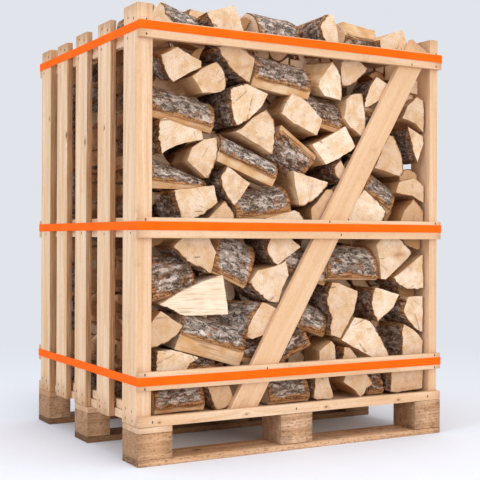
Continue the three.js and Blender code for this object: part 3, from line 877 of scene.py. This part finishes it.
# Logs end-on at the front: the bark's direction and spread in degrees, how far the end is set back in
# cm, yaw, pitch, the bark's paleness, the wood's darkness (above 1 painted shade, on ends deep in
# shadow), and the corners as X and Z in cm.
END_LOGS = {
    "heap_1": (190, 60, 0.5, 0, 0, 0.5, 0.3, [(-44.5, 120), (-38, 115.5), (-38.5, 111.5), (-45.3, 111)]),
    "heap_3": (200, 60, 0, 8, 0, 0.1, 0.3, [
        (-29, 119.5), (-20.5, 122.5), (-19.5, 120.5), (-17, 115), (-18, 111.5), (-24.5, 111), (-26, 115),
    ]),
    "heap_4": (-30, 60, 3, 10, 0, 0.2, 1.4, [(-18.5, 119), (-15, 120.5), (-13.2, 119.5), (-17, 115.2)]),
    "heap_6": (190, 60, 0, 5, 0, 0.0, 0.3, [
        (8, 120), (10.5, 123.5), (12.5, 123.5), (14, 118.5), (14.5, 113), (11, 113),
    ]),
    "heap_8": (185, 40, 0, 0, 0, 0.4, 0.4, [
        (29, 118), (35, 121), (38, 122), (40, 117), (39.5, 115), (38, 112), (30.5, 112),
    ]),
    "top_1": (215, 50, 0, 12, 10, 0.4, 0.4, [
        (-42.5, 107), (-37.5, 109.5), (-30.5, 106), (-30.5, 104.5), (-39, 100), (-42, 105),
    ]),
    "top_2": (0, 50, 0, 0, 0, 0.3, 0.5, [
        (-33, 102), (-30, 104.5), (-25.5, 106.5), (-23, 103.5), (-23, 99.5), (-24.5, 98.5), (-30, 98),
    ]),
    "top_4": (180, 60, 3, 0, 0, 0.6, 1.45, [
        (-32.5, 107.5), (-31, 109.5), (-28.5, 110.5), (-29.5, 107.5), (-30.5, 106.5),
    ]),
    "top_6": (225, 50, 0, 0, 0, 0.3, 0.7, [
        (-25.5, 110.5), (-20, 112), (-14, 108.5), (-15.5, 101.5), (-21, 105),
    ]),
    "top_7": (180, 50, 5, 0, 0, 0.5, 1.3, [(-23, 103.5), (-21.5, 105), (-19.5, 103), (-21, 101.5)]),
    "top_10": (0, 60, 0, 0, 8, 0.2, 0.0, [
        (12.5, 110), (14.5, 108), (15.5, 103.5), (15.5, 99), (9.5, 100), (7.5, 102.5), (8, 104.5),
    ]),
    "top_15": (300, 30, 0.3, 0, 0, 0.3, 0.7, [
        (15.8, 110.5), (22, 111), (25, 109), (23.5, 107.5), (19, 103.5), (16, 103.5), (15.4, 108),
    ]),
    "top_16": (190, 60, 0, 10, 0, 0.1, 0.2, [
        (28, 107), (34, 104.5), (32, 101.5), (25.5, 98), (23.5, 97.5), (25, 102.5),
    ]),
    "top_17": (90, 40, 5, 0, 0, 0.3, 1.3, [(29, 108.3), (32, 110), (35, 108.5), (34.7, 105.4)]),
    "top_18": (90, 40, 3, 0, 0, 0.3, 0.3, [(43.5, 110), (46.1, 107), (46.1, 103.4), (42.5, 104)]),
    "top_20": (180, 60, 5, 0, 0, 0.4, 0.0, [(39.8, 104.5), (46.0, 104), (46.0, 98), (40.2, 98.5)]),
    "mid_8": (200, 110, 0, 4, 0, 0.3, 0.2, [
        (-21.5, 99.5), (-16.5, 101.5), (-14, 100.5), (-9.5, 99), (-11, 96), (-16.5, 91), (-20, 89.5),
        (-21, 94),
    ]),
    "mid_36": (None, 0, 0, 8, 0, 0.3, 0.3, [
        (-5, 94), (-1.5, 100), (2.5, 98.5), (8.6, 93.2), (6.8, 88.4), (-0.5, 91.5),
    ]),
    "mid_21": (0, 50, 0, 0, 0, 0.3, 0.3, [
        (17.5, 99.5), (19, 101), (22.5, 101.5), (23.5, 98), (24.5, 90), (23.5, 89), (19, 91.5),
        (16.5, 94),
    ]),
    "mid_19": (0, 40, 0, 8, 0, 0.3, 0.6, [
        (40, 99), (43.5, 102), (46.1, 101), (46.1, 91.5), (43, 94), (38, 95.5),
    ]),
    "mid_30": (0, 60, 0, 0, 0, 0.3, 0.45, [
        (-19.5, 88), (-13.5, 92.5), (-10, 94.5), (-7.5, 92), (-7, 87.5), (-7.5, 82.5), (-17, 87),
    ]),
    "mid_22": (180, 50, 0, 0, 0, 0.4, 0.3, [
        (-42.5, 90), (-41, 90.4), (-30.5, 87.5), (-30, 85.5), (-38, 83.5), (-42, 81), (-43, 85.5),
    ]),
    "mid_23": (-20, 50, 0, 8, 0, 0.3, 0.5, [
        (-33, 83), (-29.5, 85.3), (-25.5, 86), (-25.5, 81), (-28, 75.2), (-29, 75.2), (-34.5, 79.5),
    ]),
    "mid_38": (None, 0, 0, 6, 0, 0.3, 0.05, [
        (5.3, 85.7), (17, 91.5), (20.5, 86), (19, 84.5), (10, 80.2),
    ]),
    "mid_42": (0, 100, 5, 0, 0, 0.1, 2.0, [(20, 89.3), (24, 88.8), (22, 85.3)]),
    "mid_43": (10, 60, 0, 0, 0, 0.3, 0.7, [
        (27.5, 80), (33, 90), (35, 89.5), (38, 83), (38.3, 79), (37.5, 77.8),
    ]),
    "mid_45": (200, 50, 0, 2, 0, 0.1, 0.3, [(40.5, 93), (45.8, 90.3), (46.1, 88), (43.5, 82)]),
    "mid_39": (190, 60, 0.5, 8, 0, 0.2, 0.5, [(13, 79), (15.5, 82), (17.5, 79), (16, 75.2)]),
    "mid_52": (80, 70, 3, 0, 0, 0.3, 0.9, [
        (39.5, 79.4), (43.5, 80.4), (46, 79), (46, 75.6), (41, 74.8), (39.3, 76),
    ]),
    "low_26": (200, 70, 0, 4, 0, 0.4, 0.3, [
        (-22.5, 78.5), (-15, 74), (-20, 67.8), (-23, 71), (-24.5, 75),
    ]),
    "low_25": (230, 100, 0, 3, 0, 0.4, 0.3, [
        (-38.5, 71.5), (-26.5, 73), (-26, 71), (-25.3, 68.5), (-31, 64.4), (-36, 63.5),
    ]),
    "low_29": (20, 50, 0, 0, 0, 0.3, 0.4, [(-28, 64.3), (-23, 69), (-19.7, 65), (-20.3, 62), (-27, 62)]),
    "low_32": (300, 50, 0, 6, 0, 0.3, 0.2, [
        (-1, 78), (11.5, 75), (10, 73), (2.4, 68), (1, 68.2), (-0.5, 74),
    ]),
    "low_33": (10, 50, 0, 0, 0, 0.3, 0.3, [
        (-10, 64.5), (-0.5, 66.8), (1.6, 66), (3.3, 63), (3, 61.2), (-9, 61.2),
    ]),
    "low_34": (300, 50, 0.5, 5, 0, 0.3, 0.8, [
        (5.5, 67.5), (11, 73), (12.5, 73), (13.5, 71.5), (10, 64), (6, 63),
    ]),
    "low_46": (None, 0, 0, 5, 0, 0.3, 0.7, [
        (37, 76), (42.5, 77.5), (46.1, 75), (46.1, 70), (42, 72), (36, 73),
    ]),
    "low_48": (20, 60, 0, 4, 0, 0.4, 0.0, [(24, 73.5), (32, 67), (30, 63.5), (20, 62), (17.5, 66)]),
    "low_49": (50, 40, 0, 3, 0, 0.3, 1.0, [(39, 67.5), (42.5, 71), (46.1, 67.8), (46.1, 62), (36.5, 62)]),
    "low_50": (180, 100, 5, 0, 0, 0.1, 1.3, [(33, 69.5), (37, 70), (38, 67.2), (35.3, 63.5)]),
    "under_53": (270, 60, 3, 0, 0, 0.3, 1.7, [(-45.3, 59.5), (-37.3, 59.5), (-45.3, 55.7)]),
    "under_54": (230, 60, 0, 4, 0, 0.3, 0.6, [
        (-38.5, 56.5), (-35, 59.5), (-28, 59.5), (-25.7, 55), (-26.7, 51.5), (-27.5, 49.3), (-30, 51),
        (-33.5, 52), (-35.5, 54),
    ]),
    "under_62": (190, 60, 0.5, 8, 0, 0.2, 0.3, [
        (-9.5, 55.5), (-8, 59.5), (-2, 59.5), (2, 56.5), (-6, 51.4), (-7, 51.8),
    ]),
    "under_65": (0, 50, 3, 0, 0, 0.2, 2.0, [(8.5, 48.4), (12.3, 54.5), (13.7, 50.2), (12.5, 46.8)]),
    "under_67": (60, 70, 0, 3, 0, 0.3, 0.35, [
        (28.5, 57), (31, 59.5), (36.5, 59.5), (39.5, 57), (41.5, 55), (40, 53), (32, 46.7), (30.3, 47),
        (29.8, 52),
    ]),
    "under_68": (270, 50, 1.5, 0, 0, 0.3, 1.3, [(38.8, 59.5), (46.1, 59.5), (46.1, 55.5), (40.5, 57)]),
    "under_69": (None, 0, 6, 0, 0, 0.3, 2.0, [(14, 59.5), (24.5, 59.5), (24, 57.2), (15, 58)]),
    "lower_63": (225, 50, 0, 3, 0, 0.4, 0.35, [
        (-15, 46.5), (-12.5, 50), (-7, 51), (-3.5, 52.5), (-2.5, 48.5), (-4.5, 45), (-5.7, 40.8),
        (-7.5, 40.7), (-10, 42),
    ]),
    # lower_61's bark is given its palest, as painted light on a bark side that falls in shade.
    "lower_61": (180, 60, 0.3, -26, 0, 1.0, 0.5, [
        (-11, 41.2), (-6.3, 39.3), (-10, 32), (-14, 31), (-16, 32), (-14.5, 36),
    ]),
    "lower_57": (300, 50, 0, 0, 0, 0.3, 0.8, [
        (-45.3, 36), (-42, 39.5), (-35.5, 35.5), (-36.5, 34), (-40, 31.5), (-45.3, 30),
    ]),
    "lower_70": (260, 50, 0, 6, 0, 0.3, 0.2, [
        (35, 47), (45.8, 54), (46.1, 48), (46.1, 43.8), (40, 43.8), (37, 45),
    ]),
    "lower_71": (190, 60, 0.3, 4, 0, 0.2, 0.15, [
        (28, 44.5), (37.3, 42.2), (35, 38.5), (29.2, 34.3), (27.5, 37), (27, 41.5),
    ]),
    "lower_74": (180, 60, 4, 0, 0, 0.1, 1.45, [(39.6, 44.6), (46.0, 43.9), (46.0, 40.9), (40.5, 40.6)]),
    "lower_72": (215, 60, 0, 2, 0, 0.5, 0.3, [
        (38.5, 37), (39.7, 40.4), (40.8, 41.3), (46.1, 41.6), (46.1, 30.3), (45.2, 30.4), (41.2, 33.7),
    ]),
    "lower_73": (180, 50, 0, 5, 0, 0.4, 0.6, [
        (10.5, 41), (12.5, 46.3), (15, 46), (21.5, 43.5), (21.5, 42), (20.3, 37.5), (15.3, 30.2),
        (12, 31), (12.5, 36),
    ]),
    "lower_76": (30, 30, 0, 3, 0, 0.5, 0.1, [
        (20.6, 35.8), (24.6, 35), (26.5, 34.2), (33.4, 24), (31, 22.8), (27.6, 23.6), (18.2, 28.2),
        (16, 29.4),
    ]),
    "lower_78": (180, 40, 0, 3, 0, 0.4, 0.4, [
        (38, 31), (38.7, 33.2), (41.8, 31.6), (44.3, 29.7), (46.1, 27.7), (46.0, 22), (39, 21.6),
        (38.3, 28),
    ]),
    "base_79": (190, 40, 0, 0, 0, 0.1, 0.1, [
        (-43.3, 29.2), (-39, 29.4), (-32, 27.4), (-30.8, 26.8), (-33.5, 25.6), (-36, 22), (-40, 20),
        (-43, 20.4),
    ]),
    "base_87": (None, 0, 0, 14, 4, 0.3, 0.6, [
        (8.2, 26.5), (10, 28), (12.4, 29.3), (13.6, 28), (13.9, 26), (13.8, 20.4), (8, 20.2),
    ]),
    "base_89": (170, 50, 0.5, 3, 0, 0.3, 0.6, [
        (17.1, 27.2), (19.2, 27), (20.4, 25.6), (21.7, 24), (22, 20.4), (16.6, 20.4),
    ]),
    "foot_84": (190, 30, 0, 3, 0, 0.3, 0.9, [
        (-28, 18.8), (-21.5, 18.8), (-20, 15), (-20.9, 13.7), (-22.9, 12.7), (-25.6, 12.5), (-27.3, 16),
    ]),
    "foot_91": (180, 30, 0, 3, 0, 0.1, 0.5, [
        (6.7, 18.9), (11.4, 18.9), (12.1, 15.6), (13, 13.4), (12.4, 12.8), (7.5, 12.7), (6.2, 13.5),
        (6.5, 15),
    ]),
    "foot_92": (None, 0, 0, 6, 0, 0.3, 0.6, [
        (16.9, 17.1), (17.5, 19), (25, 19), (26.7, 16.5), (27, 16.1), (24.9, 14.8), (24.4, 13.7),
        (22.8, 12.5), (20.3, 15),
    ]),
    "foot_94": (180, 40, 0, 2, 0, 0.15, 0.7, [
        (34, 19), (46.1, 19), (46.1, 13.3), (38, 13), (36, 12.6), (33.7, 13.3), (34, 15.3),
    ]),
}

# A split face that looks out of the front, its fibres running from left to right: as the logs above.
CLEFT_SLABS = {
    "slab_56": (220, 45, 0.2, 0, 0, 0.1, -0.6, [
        (-42.3, 41.3), (-35, 45), (-30, 47), (-23.5, 49), (-22.7, 45), (-22, 38.3), (-35, 38.2),
        (-40, 40.6),
    ]),
}

# Logs lying across the front: left end and right end as X and Z, thickness, depth and how far each end
# is set back, all in cm, then the lip, bark, wood, and how thick the right end is next to the left one.
LYING_LOGS = {
    2: (-39.5, 118.3, -26, 115.2, 9.5, 9, 4, 6, 0.06, 1.0, 0.4),
    5: (-13.5, 118.4, 4, 119.4, 7.5, 9, 0.5, 7, 0.06, 0.9, 0.2),
    7: (15.5, 117.8, 30, 117.6, 9, 10, 0, 4, -0.45, 0.4, 0.1),
    9: (-13.5, 106, 5.5, 103.5, 10, 11, 0.3, 0.3, 0.24, 0.5, 0.3),
    3: (-45.2, 95.5, -26, 91.5, 9, 11, 0.3, 0.3, 0.2, 0.6, 0.6),
    37: (3, 97, 17, 93.8, 9, 10, 1, 1, 0.15, 0.3, 0.5),
    41: (24.5, 95.5, 34, 92, 7, 10, 1.5, 1.5, -0.3, 0.1, 0.3),
    27: (-24.5, 84, -6, 77, 8, 10, 0.3, 0.3, 0.3, 0.9, 0.3),
    35: (-7, 87, 5, 79, 9.5, 10, 0.6, 0.6, -0.2, 0.15, 0.5),
    24: (-45.2, 76.3, -28.5, 73.7, 9, 11, 0.3, 0.3, 0.25, 0.6, 0.4, 0.4),
    31: (-19.5, 67.3, -2, 70, 8.5, 10, 0.3, 0.3, 0.15, 0.6, 0.4),
    47: (26, 76, 36, 70, 8.5, 10, 1, 1, 0.15, 0.6, 0.4),
    55: (-45.2, 47.5, -32, 49.5, 11, 12, 0.3, 1.5, 0.05, 0.5, 0.4),
    59: (-25, 55.7, -13.5, 50.7, 12.5, 11, 0.6, 0.6, 0.05, 0.8, 0.4),
    64: (-3, 54, 12, 49, 8, 10, 1, 1, 0.05, 0.5, 0.4),
    66: (11.5, 52, 29.5, 51.5, 10, 11, 0.6, 0.6, 0.06, 0.7, 0.4),
    58: (-36, 34.5, -16, 28.5, 11, 12, 0.2, 0.6, 0.4, 0.95, 0.3),
    74: (3, 37.5, 12, 34, 8, 10, 1.5, 1.5, 0.05, 0.6, 0.4),
    75: (-5.5, 27.5, 5, 32, 9, 10, 2, 2, 0.05, 0.15, 0.4),
    80: (-33, 24.5, -24.5, 25, 4.5, 8, 2.5, 2.5, 0.2, 0.15, 0.4),
    86: (-17, 28, -10, 27, 6, 9, 2, 2, 0.2, 0.3, 0.5),
    83: (-43.2, 16.1, -28.6, 16.2, 7.4, 11, 0.3, 0.3, 0.2, 0.6, 0.2),
    90: (-8.4, 16.1, 5.2, 16.1, 7.6, 11, 0.3, 0.3, 0.12, 0.5, 0.6),
    93: (26.9, 16, 32.5, 16, 7.2, 10, 1.5, 1.5, 0.1, 0.2, 0.5),
}


def new_log(name, shape, replaced=()):
    """A piece that is one log."""
    new_piece("log_" + name, [shape], FIREWOOD, replaced)


for name, row in END_LOGS.items():
    new_log(name, facing_log(name, *row, FRONT, RANK), ["logs_front"] if name == "heap_1" else ())
for name, row in CLEFT_SLABS.items():
    new_log(name, facing_log(name, *row, FRONT, 0.1, crosswise=True))
for number, row in LYING_LOGS.items():
    name = f"lying_{number}"
    new_log(name, lying_log(name, *row))


# ---- Hidden ranks ----


def cut_outline(outline, normal, reach):
    """The part of a convex outline where the normal's distance is at most `reach`."""
    kept = []
    for here, there in zip(outline, np.roll(outline, -1, axis=0)):
        a = here @ normal - reach
        b = there @ normal - reach
        if a <= 0:
            kept.append(here)
        if (a < 0) != (b < 0) and a != b:
            kept.append(here + (there - here) * a / (a - b))
    return np.array(kept)


def turned_by(way, angle):
    """A flat vector turned by an angle in radians."""
    c, s = math.cos(angle), math.sin(angle)
    return np.array([way[0] * c - way[1] * s, way[0] * s + way[1] * c])


SPLIT_AREA = 0.0068  # square metres, about the size of a log's end
NEAR_SIDES = 0.37  # metres from the middle, beyond which the logs are smaller
TIGHT_FROM = 0.12  # metres from the middle, beyond which the back rank lets no light through
SMALL_VOIDS = (0.3, 0.38)  # metres from the middle, between which the gaps are smaller


def split_up(outline, random):
    """Cuts a convex outline across its longest way until each part is small enough."""
    size = abs(turned_area(outline))
    middle = outline.mean(0)
    if size < SPLIT_AREA * random.uniform(0.75, 1.3) * (0.6 if abs(middle[0]) > NEAR_SIDES else 1):
        return [outline]
    normal = turned_by(np.linalg.svd(outline - middle)[2][0], random.normal(0, 0.32))
    reach = middle @ normal + random.uniform(-0.12, 0.12) * math.sqrt(size)
    parts = [cut_outline(outline, normal, reach), cut_outline(outline, -normal, -reach)]
    return [part for half in parts if len(half) > 2 for part in split_up(half, random)]


def drawn_in(outline, gap):
    """A convex outline with every edge moved in by `gap`."""
    kept = outline
    turned = turned_area(outline) > 0
    for here, there in zip(outline, np.roll(outline, -1, axis=0)):
        edge = there - here
        length = np.linalg.norm(edge)
        if length < 1e-6:
            continue
        normal = np.array([edge[1], -edge[0]]) / length * (1 if turned else -1)
        kept = cut_outline(kept, normal, here @ normal - gap)
        if len(kept) < 3:
            return kept
    return kept


def with_voids(outline, random, small):
    """A convex outline, mostly with one corner cut off, as cleft logs leave gaps where they meet."""
    middle = outline.mean(0)
    corner = outline[random.integers(len(outline))]
    ray = corner - middle
    reach = np.linalg.norm(ray)
    if random.uniform() < 0.25 or reach < 1e-6:
        return outline
    normal = turned_by(ray / reach, random.normal(0, 0.35))
    kept = random.uniform(0.65, 0.9) if small else random.uniform(0.25, 0.6)
    return cut_outline(outline, normal, middle @ normal + reach * kept)


def holds(outline, point):
    """Whether a point lies inside an outline: a ray from it crosses the edges an odd number of times."""
    following = np.roll(outline, -1, axis=0)
    high = outline[:, 1] > point[1]
    low = following[:, 1] > point[1]
    run = following[:, 1] - outline[:, 1] + 1e-12
    cross = outline[:, 0] + (point[1] - outline[:, 1]) / run * (following[:, 0] - outline[:, 0])
    return np.sum((high != low) & (point[0] < cross)) % 2 == 1


def inside_share(outline, taken):
    """The share of an outline's corners and middle that lie inside any of the taken outlines."""
    spots = [*outline, outline.mean(0)]
    return sum(any(holds(other, spot) for other in taken) for spot in spots) / len(spots)


def past_sides(shape, low, high):
    """How far a shape has to move along X to lie between two corners."""
    points = shape["points"]
    return max(low[0] - points[:, 0].min(), 0) - max(points[:, 0].max() - high[0], 0)


def packed_rank(node, count, step, row, top, setback=0.0, depth=RANK, taken=()):
    """Logs packed side by side from the floor to `top`, in a few joined pieces, and none inside `taken`.

    Away from the middle, where the side slats would let the light through, the back rank is tight.
    """
    low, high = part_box(node)
    random = np.random.default_rng(list(node.encode()))
    plane = np.array([(low[0], low[2]), (high[0], low[2]), (high[0], top), (low[0], top)])
    groups = [[] for _ in range(count)]
    for i, part in enumerate(split_up(plane, random)):
        tight = node == "logs_back" and abs(part[:, 0].mean()) > TIGHT_FROM
        outline = drawn_in(part, (0.4 if tight else random.uniform(1.5, 4)) * MM)
        if len(outline) > 2 and not tight:
            small = SMALL_VOIDS[0] < abs(outline[:, 0].mean()) < SMALL_VOIDS[1]
            outline = with_voids(outline, random, small)
        if len(outline) < 3 or inside_share(outline, taken) > 0.6:
            continue
        yaw, pitch = random.normal(0, 2.0, 2)
        towards, back = random.uniform(0, 360), random.uniform(0, 1.5)
        bark, wood = random.uniform(0, 1), random.uniform(0, 0.9)
        length = depth - random.uniform(2, 10) * MM
        settings = (towards, 60, back, yaw, pitch, bark, wood, outline / CM, low[1] + setback, length)
        shape = facing_log(f"{node}_{i}", *settings, step=step, row=row)
        sunk = max(low[2] - shape["points"][:, 2].min(), 0)
        shape["points"] += np.array([past_sides(shape, low, high), 0, sunk])
        groups[i % count].append(shape)
    for i, shapes in enumerate(groups):
        replaced = [node] if i == 0 and not taken else ()
        new_piece(f"{node}_{i + 1}", shapes, FIREWOOD, replaced)


# Cross-sections of cleft logs, in cm about their middle, and where the bark of each looks.
CLEFT_SECTIONS = [
    ([(-5.5, -3), (5, -4), (5.5, 0), (1.5, 4.5), (-3, 4)], 60),
    ([(-6, -2.5), (6, -3), (2, 3.6), (-2.5, 4.2)], 95),
    ([(-4.5, -4), (4.5, -3.5), (4, 3), (-1, 5)], 10),
    ([(-6.5, -2.5), (5.5, -3.2), (6.5, 0.5), (-4.5, 3.6)], 265),
    ([(-5, -3.5), (2, -4.5), (5.5, -1), (4, 4), (-2, 3.5)], 190),
]


HEAP_MARGIN = 65 * MM  # from the middle of a heaped row's last log to the side of the wood
HEAP_FALL = 35 * MM  # how much lower the heap is 0.4 m away from the middle


def heaped_row(node, tag, start, height, count, swing, limit):
    """Loose logs in a row along X, turned this way and that, resting at `height` and none above `limit`.

    The row begins and ends `start` inside the margin, and `swing` is how far the logs turn, in degrees.
    """
    low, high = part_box(node)
    random = np.random.default_rng(list(f"{node}{height}".encode()))
    spots = np.linspace(low[0] + HEAP_MARGIN + start, high[0] - HEAP_MARGIN - start, count)
    for i, x in enumerate(spots):
        outline, towards = CLEFT_SECTIONS[random.integers(len(CLEFT_SECTIONS))]
        outline = np.array(outline) * random.uniform(0.85, 1.1) * np.array([random.choice([-1, 1]), 1])
        outline = outline + np.array([x, height - HEAP_FALL * (x / 0.4) ** 2]) / CM
        yaw = random.normal(0, swing)
        back, pitch = random.uniform(0, 1), random.normal(0, 3)
        bark, wood = random.uniform(0, 1), random.uniform(0, 0.7)
        length = high[1] - low[1] - 12 * MM
        settings = (towards, 70, back, yaw, pitch, bark, wood, outline, low[1], length)
        shape = facing_log(f"{node}_top_{i}_{height}", *settings, step=7 * MM, row=16 * MM)
        over = min(limit - shape["points"][:, 2].max(), 0)
        shape["points"] += np.array([past_sides(shape, low, high), 0, over])
        new_log(f"{node[5:]}_{tag}_{i + 1}", shape)


taken = [np.array(row[-1]) * CM for row in END_LOGS.values()]
coarse = {"step": 12 * MM, "row": 30 * MM}
finer = {"step": 9 * MM, "row": 24 * MM}
packed_rank("logs_front", 2, **coarse, top=1.16, setback=0.127, depth=0.11, taken=taken)
packed_rank("logs_middle", 3, **coarse, top=1.15)
packed_rank("logs_back", 6, **finer, top=1.15)
heaped_row("logs_middle", "lower", start=0.0, height=1.175, count=8, swing=9, limit=1.235)
heaped_row("logs_middle", "upper", start=0.1, height=1.228, count=6, swing=16, limit=1.2605)
heaped_row("logs_back", "lower", start=0.01, height=1.178, count=8, swing=9, limit=1.235)
heaped_row("logs_back", "upper", start=0.12, height=1.222, count=5, swing=14, limit=1.248)


# ---- Nails ----


def nail_shape(spots, out):
    """Low domed heads, one at each spot: rings of an ellipse, 3.8 by 7.6 mm, rising 0.5 mm along `out`."""
    turn = np.radians(np.arange(0, 360, 45))
    out = np.array(out, float)
    side = np.cross((0, 0, 1), out)
    flat = np.stack([np.cos(turn) * 1.9, np.sin(turn) * 3.8], axis=-1) * MM
    ring = flat[:, :1] * side + flat[:, 1:] * np.array([0, 0, 1.0])
    rings = [ring * scale + out * height * MM for scale, height in [(1.0, -0.4), (1.0, 0.2), (0.6, 0.5)]]
    loop, faces = closed_tube(np.stack(rings))
    every = (np.array(spots, float)[:, None] + loop[None]).reshape(-1, 3)
    lift = np.arange(len(spots)) * len(loop)
    groups = [(face[None] + lift[:, None, None]).reshape(-1, face.shape[1]) for face in faces]
    return {"points": every, "faces": groups, "picks": [0, 0, 0], "values": {}}


# The nails of a slat: how far each is from its middle, in mm, and how high, in metres.
SLAT_NAILS = [
    (-24, 0.112), (20, 0.117), (-18, 0.136), (24, 0.139),
    (-22, 1.158), (16, 1.166), (20, 1.112), (-6, 0.601),
]


def side_nails(side):
    """Heads in each slat and post, over the batten and the rails behind it, each a little out of line."""
    spots = []
    random = np.random.default_rng(7)
    places = ("corner_post_front_{}", "slat_{}_1", "slat_{}_2", "slat_{}_3", "corner_post_back_{}")
    for node in (place.format(side) for place in places):
        low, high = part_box(node)
        x = low[0] if side == "left" else high[0]
        middle = (low[1] + high[1]) / 2
        for off, z in SLAT_NAILS:
            jitter = random.uniform(-3, 3, 2) * MM
            spots.append((x, middle + off * MM + jitter[0], z + jitter[1]))
    return spots


def face_nails(end):
    """Heads in the rails over each corner post, along the edge board, and at the brace."""
    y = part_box(f"rail_top_{end}")[0 if end == "front" else 1][1]
    spots = [(x, y, z) for x in (-0.482, 0.478) for z in (0.2, 0.237, 0.636, 1.112, 1.149)]
    spots += [(x, y, 0.114) for x in (-0.46, -0.02, 0.452)]
    spots += [(x, y, z) for x, z in ((-0.115, 0.2325), (0.09, 0.637), (0.13, 0.6), (0.385, 1.11))]
    return spots


for side, out in (("left", (-1, 0, 0)), ("right", (1, 0, 0))):
    new_piece(f"nails_{side}", [nail_shape(side_nails(side), out)], [NAIL])
for end, out in (("front", (0, -1, 0)), ("back", (0, 1, 0))):
    new_piece(f"nails_{end}", [nail_shape(face_nails(end), out)], [NAIL])
